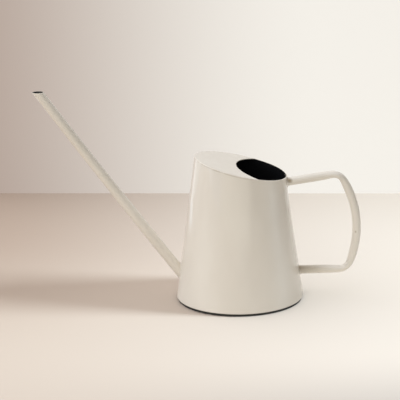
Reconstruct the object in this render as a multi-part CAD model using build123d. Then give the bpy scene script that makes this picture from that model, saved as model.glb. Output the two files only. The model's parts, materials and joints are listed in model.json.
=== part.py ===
"""Indoor watering can: a rolled sheet cone with a sloping mouth, a long spout and a bent tube handle.

Millimetres, +Z up, the can standing on Z = 0 about the Z axis.
The spout points along -X and the handle along +X, so Y = 0 is the plane of symmetry.
"""
from build123d import *
import os
from math import cos, radians, sin, sqrt, tan

# Sheet metal body
BASE_DIAMETER = 150.0       # outside of the wall at its lower edge
WALL_TAPER = 7.9            # lean of the wall, degrees from upright
SHEET = 1.0                 # thickness of the wall, base and cover
RIM_HEIGHT = 162.3          # height of the sloping rim on the can's axis
RIM_SLOPE = 13.7            # fall of the rim towards the handle, degrees
SEAM_GAP = 1.2              # slit between the two edges of the rolled wall
SEAM_BEAD = 1.4             # radius of the weld bead inside the seam

# Crescent cover over the front of the rim
MOUTH_RADIUS = 60.3         # concave edge of the cover
MOUTH_CENTRE = 57.8         # its centre, from the can's axis down the slope
COVER_WELD = 2.0            # leg of the weld under the cover

# Pressed base and the soft pad glued under it
BASE_FLANGE = 8.0           # height of the turned-up edge inside the wall
BASE_BEND = 2.5             # outside radius of the turned-up edge
FOOT_HEIGHT = 3.2           # thickness of the pad
FOOT_INSET = 1.5            # the pad stays this far inside the wall's edge
FOOT_EDGE = 0.5             # rounding of the pad's lower edge

# Spout
SPOUT_ROOT_HEIGHT = 34.2    # where its axis meets the outside of the wall
SPOUT_TIP_HEIGHT = 255.4    # level cut at the tip
SPOUT_RISE = 54.1           # degrees above level
SPOUT_TIP_DIAMETER = 11.2
SPOUT_ROOT_DIAMETER = 12.6
SPOUT_WALL = 1.1
SPOUT_WELD = 1.2            # leg of the weld round the root

# Handle
HANDLE_DIAMETER = 10.0
HANDLE_WALL = 1.0
HANDLE_DROP = 8.4           # upper run's axis below the rear of the rim, at the wall
HANDLE_LIFT = 32.2          # lower run's axis above the floor
HANDLE_RISE = 7.8           # upper run's climb away from the wall, degrees
GRIP_REACH = 139.0          # outermost point of the grip's axis
GRIP_HEIGHT = 83.2          # height of that point
GRIP_RADIUS = 115.0         # bow of the grip
BEND_RADIUS = 14.0          # tight bends at both ends of the grip
HANDLE_WELD = 1.6           # leg of the welds at the wall

# Values that follow from the sizes above
BASE_RADIUS = BASE_DIAMETER / 2
LEAN = tan(radians(WALL_TAPER))
SKIN = SHEET / cos(radians(WALL_TAPER))     # the wall's thickness measured level
FALL = tan(radians(RIM_SLOPE))
SPAN = 2 * (BASE_DIAMETER + RIM_HEIGHT)     # larger than the body every way
ON_TOP = (Align.CENTER, Align.CENTER, Align.MIN)
RIM_PLANE = Plane(
    origin=(0, 0, RIM_HEIGHT),
    x_dir=(cos(radians(RIM_SLOPE)), 0, -sin(radians(RIM_SLOPE))),
    z_dir=(sin(radians(RIM_SLOPE)), 0, cos(radians(RIM_SLOPE))),
)
SPOUT_AXIS = Vector(-cos(radians(SPOUT_RISE)), 0, sin(radians(SPOUT_RISE)))


def wall_radius(height):
    """Outside radius of the wall at a height."""
    return BASE_RADIUS - LEAN * (height - FOOT_HEIGHT)


def cone_block(inset=0.0):
    """Solid cone, a level inset inside the wall's outer surface, from its lower edge to past the rim."""
    top = RIM_HEIGHT + FALL * BASE_RADIUS
    outline = Polyline(
        (0, 0, FOOT_HEIGHT),
        (BASE_RADIUS - inset, 0, FOOT_HEIGHT),
        (wall_radius(top) - inset, 0, top),
        (0, 0, top),
        close=True,
    )
    return revolve(make_face(outline), Axis.Z)


def above_rim(depth=0.0):
    """Everything above the plane that lies a depth below the rim."""
    return RIM_PLANE * Pos(0, 0, -depth) * Box(SPAN, SPAN, SPAN, align=ON_TOP)


def mouth_cutter():
    """Cylinder square to the rim's plane that cuts the cover's concave edge."""
    return RIM_PLANE * Pos(MOUTH_CENTRE, 0, 0) * Cylinder(MOUTH_RADIUS, SPAN)


def corner_welds(first, second, leg):
    """Flat-faced welds that fill the corners where two solids meet, lowest first."""
    joined = first + second
    corners = new_edges(first, second, combined=joined)
    return (joined.chamfer(leg, None, corners) - joined).solids().sort_by(Axis.Z)


def rolled_wall():
    """The wall before its seam and its spout hole are cut."""
    return cone_block() - cone_block(SKIN) - above_rim()


def seam_slit():
    """Slit down the rear of the wall, where the rolled sheet's two edges meet."""
    return Box(SPAN, SEAM_GAP, SPAN, align=(Align.MIN, Align.CENTER, Align.CENTER))


def body_wall():
    """Rolled cone with its sloping rim, rear seam and spout hole."""
    return rolled_wall() - seam_slit() - spout_cone(SPOUT_WALL)


def body_seam_weld():
    """Weld that fills the seam flush outside and leaves a bead inside, above the base's flange."""
    foot = FOOT_HEIGHT + BASE_FLANGE + LEAN * SEAM_BEAD
    line = Plane((wall_radius(foot) - SKIN, 0, foot), z_dir=(-LEAN, 0, 1))
    bead = line * Cylinder(SEAM_BEAD, SPAN, align=ON_TOP) & cone_block(SKIN)
    return (rolled_wall() & seam_slit()) + (bead - above_rim())


def base_outline():
    """Half section of the base with sharp bends: a flat disc with its edge turned up along the wall."""
    inner = BASE_RADIUS - SKIN
    tip = wall_radius(FOOT_HEIGHT + BASE_FLANGE) - SKIN
    return make_face(Polyline(
        (0, 0, FOOT_HEIGHT),
        (inner, 0, FOOT_HEIGHT),
        (tip, 0, FOOT_HEIGHT + BASE_FLANGE),
        (tip - SKIN, 0, FOOT_HEIGHT + BASE_FLANGE),
        (inner - SKIN - LEAN * SHEET, 0, FOOT_HEIGHT + SHEET),
        (0, 0, FOOT_HEIGHT + SHEET),
        close=True,
    )).face()


def rounded_outside(outline):
    """The base's half section with the outside of its bend rounded."""
    corner = outline.vertices().group_by(Axis.Z)[0].sort_by(Axis.X)[-1]
    return outline.fillet_2d(BASE_BEND, [corner])


def base_disc():
    """Pressed base, a push fit inside the wall's lower edge."""
    outline = rounded_outside(base_outline())
    crook = Vector(BASE_RADIUS - 2 * SKIN - LEAN * SHEET, 0, FOOT_HEIGHT + SHEET)
    corner = outline.vertices().sort_by_distance(crook)[0]
    return revolve(outline.fillet_2d(BASE_BEND - SHEET, [corner]), Axis.Z)


def base_seam_weld():
    """Weld that fills the groove between the wall's lower edge and the base's bend."""
    sharp = base_outline()
    return revolve(sharp - rounded_outside(sharp), Axis.Z)


def foot_pad():
    """Soft round pad under the base."""
    pad = Cylinder(BASE_RADIUS - FOOT_INSET, FOOT_HEIGHT, align=ON_TOP)
    return fillet(pad.edges().sort_by(Axis.Z)[0], FOOT_EDGE)


def top_cover():
    """Crescent plate set flush inside the front of the rim."""
    plate = (cone_block(SKIN) & above_rim(SHEET)) - above_rim()
    return plate - mouth_cutter()


def cover_weld():
    """Weld in the corner under the cover, along the inside of the wall."""
    hollow = cone_block(SKIN) - above_rim(SHEET)
    corner = hollow.edges().filter_by(GeomType.ELLIPSE)
    return hollow - hollow.chamfer(COVER_WELD, None, corner) - mouth_cutter()


def spout_cone(inset=0.0):
    """Tapered rod on the spout's axis, inset from its outside, running past the wall and the tip."""
    root = Vector(-wall_radius(SPOUT_ROOT_HEIGHT), 0, SPOUT_ROOT_HEIGHT)
    length = (SPOUT_TIP_HEIGHT - SPOUT_ROOT_HEIGHT) / SPOUT_AXIS.Z
    spare = SPOUT_ROOT_DIAMETER
    growth = (SPOUT_TIP_DIAMETER - SPOUT_ROOT_DIAMETER) / 2 / length
    low = SPOUT_ROOT_DIAMETER / 2 - growth * spare - inset
    high = SPOUT_TIP_DIAMETER / 2 + growth * spare - inset
    start = Plane(root - SPOUT_AXIS * spare, z_dir=SPOUT_AXIS)
    return start * Cone(low, high, length + 2 * spare, align=ON_TOP)


def spout_rod():
    """Outside of the spout as a solid, cut level at the tip."""
    rod = spout_cone()
    return rod - Pos(rod.center().X, 0, SPOUT_TIP_HEIGHT) * Box(SPAN, SPAN, SPAN, align=ON_TOP)


def spout_tube():
    """Tapered tube whose lower end is coped to sit on the wall round its hole."""
    return spout_rod() - spout_cone(SPOUT_WALL) - cone_block()


def spout_weld():
    """Weld round the root of the spout."""
    return corner_welds(cone_block(), spout_rod(), SPOUT_WELD)[0]


def grip_bend(on_run, angle, turn):
    """Bend between a straight run and the grip's bow, touching both.

    The bend's centre lies one bend radius inside the run, on the side given by turn,
    and as far from the bow's centre as the two radii differ.
    Returns the bend's centre and its ends on the run and on the bow.
    """
    bow = Vector(GRIP_REACH - GRIP_RADIUS, 0, GRIP_HEIGHT)
    along = Vector(cos(radians(angle)), 0, sin(radians(angle)))
    inward = Vector(-along.Z, 0, along.X) * turn
    offset = on_run + inward * BEND_RADIUS - bow
    back = offset.dot(along)
    reach = GRIP_RADIUS - BEND_RADIUS
    centre = bow + offset + along * (sqrt(back**2 - offset.dot(offset) + reach**2) - back)
    return centre, centre - inward * BEND_RADIUS, bow + (centre - bow).normalized() * GRIP_RADIUS


def bend_edge(centre, start, end):
    """Short arc of the bend radius from start to end."""
    middle = centre + ((start + end) / 2 - centre).normalized() * BEND_RADIUS
    return Edge.make_three_point_arc(start, middle, end)


def handle_path():
    """Axis of the handle: upper run, bend, bowed grip, bend and lower run, with both ends inside the wall."""
    rear = (BASE_RADIUS - LEAN * (RIM_HEIGHT - FOOT_HEIGHT)) / (1 - LEAN * FALL)
    top_z = RIM_HEIGHT - FALL * rear - HANDLE_DROP
    climb = Vector(cos(radians(HANDLE_RISE)), 0, sin(radians(HANDLE_RISE)))
    top = Vector(wall_radius(top_z), 0, top_z) - climb * HANDLE_DIAMETER
    foot = Vector(wall_radius(HANDLE_LIFT) - HANDLE_DIAMETER, 0, HANDLE_LIFT)
    high, run_end, grip_start = grip_bend(top, HANDLE_RISE, -1)
    low, run_start, grip_end = grip_bend(foot, 0, 1)
    return Wire([
        Edge.make_line(top, run_end),
        bend_edge(high, run_end, grip_start),
        Edge.make_three_point_arc(grip_start, (GRIP_REACH, 0, GRIP_HEIGHT), grip_end),
        bend_edge(low, grip_end, run_start),
        Edge.make_line(run_start, foot),
    ])


def handle_rod(inset=0.0):
    """Rod bent along the handle's axis, inset from the tube's outside."""
    path = handle_path()
    section = Plane(path @ 0, z_dir=path % 0) * Circle(HANDLE_DIAMETER / 2 - inset)
    return sweep(section, path=path)


def handle_tube():
    """Bent tube whose two ends are coped to sit on the wall."""
    return handle_rod() - handle_rod(HANDLE_WALL) - cone_block()


def handle_bottom_weld():
    """Weld round the handle's lower end."""
    return corner_welds(cone_block(), handle_rod(), HANDLE_WELD)[0]


def handle_top_weld():
    """Weld round the handle's upper end."""
    return corner_welds(cone_block(), handle_rod(), HANDLE_WELD)[-1]


NODES = (
    body_wall,
    body_seam_weld,
    base_disc,
    base_seam_weld,
    foot_pad,
    top_cover,
    cover_weld,
    spout_tube,
    spout_weld,
    handle_tube,
    handle_top_weld,
    handle_bottom_weld,
)

os.makedirs("parts", exist_ok=True)
for node in NODES:
    export_step(node(), f"parts/{node.__name__}.step")
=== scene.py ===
"""Looks of an enamelled watering can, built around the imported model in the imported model's own frame.

Metres, +Z up: the can stands on Z = 0 about the Z axis, with the spout along -X and the handle along +X.
Each skin below stands for one node and is a grid of points worked out as whole arrays. Fields that are
angles are in degrees, and colours are linear.
"""

import json
import logging
import math
from dataclasses import dataclass, field
from enum import Enum
from typing import Any, Callable, Optional, Union

import bmesh
import bpy
import numpy as np
from mathutils import Matrix, Vector


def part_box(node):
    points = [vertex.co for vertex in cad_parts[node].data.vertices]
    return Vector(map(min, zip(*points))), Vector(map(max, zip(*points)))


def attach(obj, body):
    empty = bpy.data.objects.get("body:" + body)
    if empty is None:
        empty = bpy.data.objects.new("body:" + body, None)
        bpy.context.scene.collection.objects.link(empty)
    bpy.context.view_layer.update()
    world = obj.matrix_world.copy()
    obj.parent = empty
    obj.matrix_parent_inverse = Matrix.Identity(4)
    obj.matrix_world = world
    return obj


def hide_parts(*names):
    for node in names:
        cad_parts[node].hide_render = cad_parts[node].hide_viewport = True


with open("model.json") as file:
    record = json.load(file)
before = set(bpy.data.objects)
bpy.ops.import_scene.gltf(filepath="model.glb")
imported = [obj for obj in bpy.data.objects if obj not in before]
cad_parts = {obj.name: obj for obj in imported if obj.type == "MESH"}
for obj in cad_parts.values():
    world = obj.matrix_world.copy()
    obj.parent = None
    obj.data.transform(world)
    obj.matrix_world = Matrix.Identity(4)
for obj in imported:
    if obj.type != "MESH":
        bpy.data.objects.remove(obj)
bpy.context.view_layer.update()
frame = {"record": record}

MM = 0.001
BODY = "root"
LINING_DEPTH = "lining"
SAME_POINT = 1e-7
ACROSS = np.array((0.0, 1.0, 0.0))
Array = np.ndarray
Numbers = Union[np.ndarray, float]
Triple = tuple[float, float, float]
Band = tuple[float, float]
log = logging.getLogger("watering_can")


class Slot(Enum):
    """Material slots of the record."""

    CREAM = "cream_enamel"
    LINING = "dark_lining"
    RUBBER = "foot_rubber"


class HandleEnd(Enum):
    """The handle's two ends on the wall, each by the name of its weld."""

    TOP = "handle_top_weld"
    BOTTOM = "handle_bottom_weld"


def record_colour(slot: Slot) -> Array:
    """Colour that the record gives to a slot."""
    found = next(row for row in frame["record"]["materials"] if row["slot"] == slot.value)
    return np.array(found["base_color"])


# Grids, outlines and skins

def unit(vectors: Array) -> Array:
    """Vectors along the last axis, brought to length one."""
    return vectors / np.linalg.norm(vectors, axis=-1, keepdims=True)


def ease(band: Band, value: Numbers) -> Numbers:
    """Smooth step: 0 up to the band's low end, 1 from its high end on, with level ends between."""
    share = np.clip((value - band[0]) / (band[1] - band[0]), 0, 1)
    return share * share * (3 - 2 * share)


def spread(*values: Numbers) -> Array:
    """Numbers and arrays brought to one shape and stacked along a new last axis."""
    return np.stack(np.broadcast_arrays(*values), -1)


def corners_of(*places: tuple[Numbers, Numbers]) -> Array:
    """Corners of outlines, ... x K x 2, from K pairs of numbers or arrays."""
    values = spread(*(value for place in places for value in place))
    return values.reshape(values.shape[:-1] + (-1, 2))


def spin(radius: Numbers, height: Numbers, angle: Numbers) -> Array:
    """Points at a radius, height and angle about the Z axis."""
    return spread(radius * np.cos(angle), radius * np.sin(angle), height)


@dataclass(frozen=True)
class Wave:
    """Unevenness round a piece: strength, count to the turn, start, and climb with height."""

    strength: float
    count: float
    start: float = 0.0
    climb: float = 0.0


def ripples(waves: tuple[Wave, ...], angle: Numbers, height: Numbers = 0.0) -> Numbers:
    """Sum of waves, each its strength times the cosine of count x angle + climb x height + start."""
    return sum(wave.strength * np.cos(wave.count * angle + wave.climb * height + wave.start)
               for wave in waves)


def hump(start: Array, middle: Array, end: Array, steps: int) -> Array:
    """Curve (1-s)^2 start + 2s(1-s) middle + s^2 end, which leaves and arrives towards the middle.

    Args:
        start, middle, end: arrays of points with the same shape.
        steps: points along each curve.
    Returns:
        One more leading axis, of that many points.
    """
    s = np.linspace(0, 1, steps).reshape((-1,) + (1,) * start.ndim)
    return (1 - s) ** 2 * start + 2 * s * (1 - s) * middle + s ** 2 * end


def rounded_outline(corners: Array, before: Array, after: Array, steps: int,
                    runs: tuple[int, ...]) -> Array:
    """Closed outlines with rounded corners.

    A corner C becomes C + (1-s)^2 before (towards the corner before it) + s^2 after (towards the next one),
    which touches both sides, and each straight side is divided evenly.

    Args:
        corners: ... x K x 2 corners.
        before, after: ... x K lengths taken off the sides before and after each corner.
        steps: points on each rounded corner.
        runs: points added on the straight side after each corner.
    Returns:
        ... x N x 2 points.
    """
    back = unit(np.roll(corners, 1, axis=-2) - corners) * before[..., None]
    ahead = unit(np.roll(corners, -1, axis=-2) - corners) * after[..., None]
    s = np.linspace(0, 1, steps)[:, None]
    bends = corners[..., None, :] + (1 - s) ** 2 * back[..., None, :] + s ** 2 * ahead[..., None, :]
    parts = []
    for k, run in enumerate(runs):
        start = bends[..., k, -1:, :]
        end = bends[..., (k + 1) % len(runs), :1, :]
        share = (np.arange(run) + 1)[:, None] / (run + 1)
        parts += [bends[..., k, :, :], start + share * (end - start)]
    return np.concatenate(parts, axis=-2)


def revolved(outline: Array, columns: int) -> Array:
    """Points of an outline of radius and height carried round the Z axis, as rows of outline points."""
    angle = np.linspace(0, 2 * np.pi, columns, endpoint=False)
    return spin(outline[:, :1], outline[:, 1:], angle[None, :])


def grid_faces(rows: int, columns: int, wrap_columns: bool) -> Array:
    """Four-sided faces of a grid whose rows close on themselves.

    Args:
        rows, columns: size of the grid.
        wrap_columns: whether the last column joins the first.
    Returns:
        Corner numbers, four for each face.
    """
    row = np.arange(rows)[:, None]
    column = np.arange(columns if wrap_columns else columns - 1)[None, :]
    next_row, next_column = (row + 1) % rows, (column + 1) % columns
    corners = spread(row * columns + column, row * columns + next_column,
                     next_row * columns + next_column, next_row * columns + column)
    return corners.reshape(-1, 4)


def mesh_from_grid(name: str, points: Array, wrap_columns: bool) -> bpy.types.Mesh:
    """Closed mesh over a grid of points, with its poles merged and its faces pointing outwards.

    Args:
        name: the mesh's name.
        points: rows x columns x 3, each column a closed outline.
        wrap_columns: whether the last column joins the first; if not, flat ends close the skin.
    Returns:
        The mesh.
    """
    rows, columns = points.shape[:2]
    faces = grid_faces(rows, columns, wrap_columns).tolist()
    if not wrap_columns:
        ring = np.arange(rows) * columns
        faces += [ring.tolist(), (ring[::-1] + columns - 1).tolist()]
    mesh = bpy.data.meshes.new(name)
    mesh.from_pydata(points.reshape(-1, 3).tolist(), [], faces)
    shell = bmesh.new()
    shell.from_mesh(mesh)
    bmesh.ops.remove_doubles(shell, verts=shell.verts, dist=SAME_POINT)
    bmesh.ops.recalc_face_normals(shell, faces=shell.faces)
    shell.to_mesh(mesh)
    shell.free()
    return mesh


@dataclass
class Skin:
    """One closed surface of the can and the node that it stands for.

    Each column of points is a closed outline. Edges bent by more than the crease are sharp. The lining
    function, where there is one, gives how far through the sheet a point lies, from 0 on the outside to 1
    on the inside. Each cutter is a grid of its own.
    """

    node: str
    slot: Slot
    points: Array
    wrap_columns: bool = True
    crease: float = 32.0
    lining: Optional[Callable[[Array], Array]] = None
    cutters: tuple[Array, ...] = ()

    def build(self) -> bpy.types.Object:
        """Makes the object, riding on the body in place of its node.

        Returns:
            The finished object, still without a material.
        """
        whole = mesh_from_grid(self.node, self.points, self.wrap_columns)
        piece = bpy.data.objects.new(f"{self.node}_skin", whole)
        bpy.context.scene.collection.objects.link(piece)
        for cutter in self.cutters:
            self.pierce(piece, cutter)
        mesh = piece.data
        mesh.shade_smooth()
        mesh.set_sharp_from_angle(angle=math.radians(self.crease))
        if self.lining:
            places = np.empty(len(mesh.vertices) * 3, np.float32)
            mesh.vertices.foreach_get("co", places)
            depth = self.lining(places.reshape(-1, 3).astype(float)).astype(np.float32)
            mesh.attributes.new(LINING_DEPTH, "FLOAT", "POINT").data.foreach_set("value", depth)
        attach(piece, BODY)
        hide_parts(self.node)
        log.info("%s: %d faces, %s", piece.name, len(mesh.polygons), self.slot.value)
        return piece

    @staticmethod
    def pierce(piece: bpy.types.Object, cutter: Array) -> None:
        """Cuts a hole through a piece and leaves nothing of the cutter behind.

        Args:
            piece: the piece, whose mesh is replaced by the cut one.
            cutter: grid of the closed cutter.
        """
        spent = mesh_from_grid("cutter", cutter, True)
        tool = bpy.data.objects.new("cutter", spent)
        bpy.context.scene.collection.objects.link(tool)
        cut = piece.modifiers.new("hole", "BOOLEAN")
        cut.operation, cut.solver, cut.object = "DIFFERENCE", "EXACT", tool
        graph = bpy.context.evaluated_depsgraph_get()
        whole, name = piece.data, piece.data.name
        made = bpy.data.meshes.new_from_object(piece.evaluated_get(graph))
        piece.modifiers.remove(cut)
        piece.data = made
        bpy.data.meshes.remove(whole)
        made.name = name
        bpy.data.objects.remove(tool)
        bpy.data.meshes.remove(spent)


Made = list[tuple[Skin, bpy.types.Object]]


class Assembly:
    """A sub-assembly of the can: a few skins that share sizes."""

    def skins(self) -> list[Skin]:
        """The sub-assembly's skins."""
        raise NotImplementedError

    def build(self) -> Made:
        """Each skin with the object made from it."""
        return [(skin, skin.build()) for skin in self.skins()]

    def dress(self, pieces: Made, finishes: dict[Slot, bpy.types.Material]) -> None:
        """Gives each piece the finish of its slot.

        Args:
            pieces: each skin with its object.
            finishes: the material of each slot.
        """
        for skin, piece in pieces:
            piece.data.materials.clear()
            piece.data.materials.append(finishes[skin.slot])


# The sheet metal

@dataclass(frozen=True)
class Cone:
    """The rolled cone that carries every other piece.

    Its outside radius falls in a straight line from base_radius at foot_height, and its rim lies in a plane
    that falls towards the handle. The flange is the height of the base's turned-up edge inside it. The rear
    of the rim flares out, between the two cosines of flare_round.
    """

    base_radius: float
    foot_height: float
    taper: float = 7.9
    sheet: float = 1.0 * MM
    flange: float = 8.0 * MM
    rim_height: float = 162.3 * MM
    rim_slope: float = 13.7
    flare: float = 2.2 * MM
    flare_depth: float = 13.0 * MM
    flare_round: Band = (0.3, 1.0)
    swell_height: float = 0.025 * MM
    swell: tuple[Wave, ...] = (
        Wave(1.0, 5, 0.4, 21), Wave(0.8, 9, 2.1, -17), Wave(0.5, 17, 4.0, 33), Wave(0.3, 29, 1.2, -48),
        Wave(0.5, 6, 0.9, 95))
    weld_sunk: float = 0.06 * MM
    weld_steps: int = 9

    @classmethod
    def from_frame(cls) -> "Cone":
        """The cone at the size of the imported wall."""
        low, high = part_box("body_wall")
        return cls(base_radius=(high.y - low.y) / 2, foot_height=low.z)

    @property
    def lean(self) -> float:
        """Fall of the radius for each unit of height."""
        return math.tan(math.radians(self.taper))

    @property
    def skin(self) -> float:
        """Thickness of the wall measured level."""
        return self.sheet / math.cos(math.radians(self.taper))

    @property
    def fall(self) -> float:
        """Fall of the rim for each unit towards the handle."""
        return math.tan(math.radians(self.rim_slope))

    def radius(self, height: Numbers) -> Numbers:
        """Outside radius at a height."""
        return self.base_radius - self.lean * (height - self.foot_height)

    def rim(self, angle: Numbers, inset: float = 0.0) -> tuple[Numbers, Numbers]:
        """Where the rim's plane cuts the cone.

        The plane's height falls with radius times the cosine of the angle, and the cone's radius falls with
        height, which gives the radius as a constant over one less lean times fall times that cosine.

        Args:
            angle: angles about the Z axis, 0 at the handle.
            inset: how far inside the outside, measured level.
        Returns:
            Radius and height at each angle.
        """
        level = self.radius(self.rim_height) - inset
        radius = level / (1 - self.lean * self.fall * np.cos(angle))
        return radius, self.rim_height - self.fall * radius * np.cos(angle)

    def lowered(self, place: tuple[Array, Array], drop: Numbers) -> tuple[Array, Array]:
        """A place of radius and height, moved down along the wall by a drop of height."""
        return place[0] + self.lean * drop, place[1] - drop

    def below_rim(self, points: Array) -> Array:
        """How far points lie below the rim's plane."""
        return self.rim_height - self.fall * points[..., 0] - points[..., 2]

    def flared(self, angle: Numbers, below: Array) -> Array:
        """Outward flare of the rear of the rim, fading down the wall and round to the sides."""
        faded = np.exp(-np.maximum(below, 0) / self.flare_depth)
        return self.flare * ease(self.flare_round, np.cos(angle)) * faded

    def depth(self, points: Array) -> Array:
        """How far through the wall points lie: 0 on its outside and 1 on its inside."""
        reach = np.hypot(points[..., 0], points[..., 1])
        return (self.radius(points[..., 2]) - reach) / self.skin

    def normal(self, points: Array) -> Array:
        """Outward normals at points on the outside: level and outwards, tipped up by the lean."""
        level = unit(points * (1, 1, 0))
        return unit(level + np.array((0, 0, self.lean)))

    def hit(self, start: Array, heading: Array) -> Array:
        """Distance along lines to the nearest crossing of the outside.

        On the cone the squared level reach equals the squared radius, and both are quadratic along a line.

        Args:
            start: points on the lines.
            heading: their directions, of any length.
        Returns:
            Multiples of the headings.
        """
        radius = self.radius(start[..., 2])
        square = heading[..., 0] ** 2 + heading[..., 1] ** 2 - (self.lean * heading[..., 2]) ** 2
        half = start[..., 0] * heading[..., 0] + start[..., 1] * heading[..., 1]
        half = half + self.lean * heading[..., 2] * radius
        rest = start[..., 0] ** 2 + start[..., 1] ** 2 - radius ** 2
        root = np.sqrt(half ** 2 - square * rest)
        first, second = (-half - root) / square, (-half + root) / square
        return np.where(np.abs(first) < np.abs(second), first, second)

    def waves(self, angle: Numbers, height: Array) -> Array:
        """Slight swell of the rolled sheet under its enamel: a sum of cosines round and up the wall."""
        return self.swell_height * ripples(self.swell, angle, height)

    def bead(self, corner: Array, along: Array, outward: Array, leg: Array, fullness: float) -> Array:
        """Weld in the corner where a tube stands on the wall.

        At each point of the corner one toe lies a leg away on the wall and the other a leg up the tube. The
        face is a curve between the toes, pulled towards the corner, and the corner closes the section.

        Args:
            corner: points round the tube on the wall's outside.
            along: direction up the tube from the wall.
            outward: directions out of the tube.
            leg: length of both legs at each point.
            fullness: 0 for a hollow face that touches wall and tube, 1 for a flat one.
        Returns:
            Rows round the bead's section, columns round the tube.
        """
        sunk = self.weld_sunk
        normal = self.normal(corner)
        aside = unit(outward - np.sum(outward * normal, -1, keepdims=True) * normal)
        wall_toe = corner + leg[:, None] * aside - sunk * normal
        tube_toe = corner + leg[:, None] * along - sunk * outward
        middle = corner + fullness * ((wall_toe + tube_toe) / 2 - corner)
        inner = corner - sunk * (normal + outward)
        return np.concatenate([hump(wall_toe, middle, tube_toe, self.weld_steps), inner[None]])


@dataclass
class Tube(Assembly):
    """A tube that stands on the wall."""

    cone: Cone
    columns: int = 64

    @property
    def turn(self) -> Array:
        """Angles round the tube."""
        return np.linspace(0, 2 * np.pi, self.columns, endpoint=False)

    def place(self, along: Array, inset: Numbers) -> Array:
        """Points of the tube at distances along its axis and depths below its outside."""
        raise NotImplementedError

    def carried(self, corners: Array, rounding: Array, steps: int, runs: tuple[int, ...]) -> Array:
        """Outline of distance and inset, carried round the axis.

        Args:
            corners: columns x K x 2 corners.
            rounding: length taken off both sides of each corner.
            steps: points on each rounded corner.
            runs: points added on the straight side after each corner.
        Returns:
            Rows along the outline, columns round the tube.
        """
        outline = rounded_outline(corners, rounding, rounding, steps, runs)
        return self.place(outline[..., 0].T, outline[..., 1].T)


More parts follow.
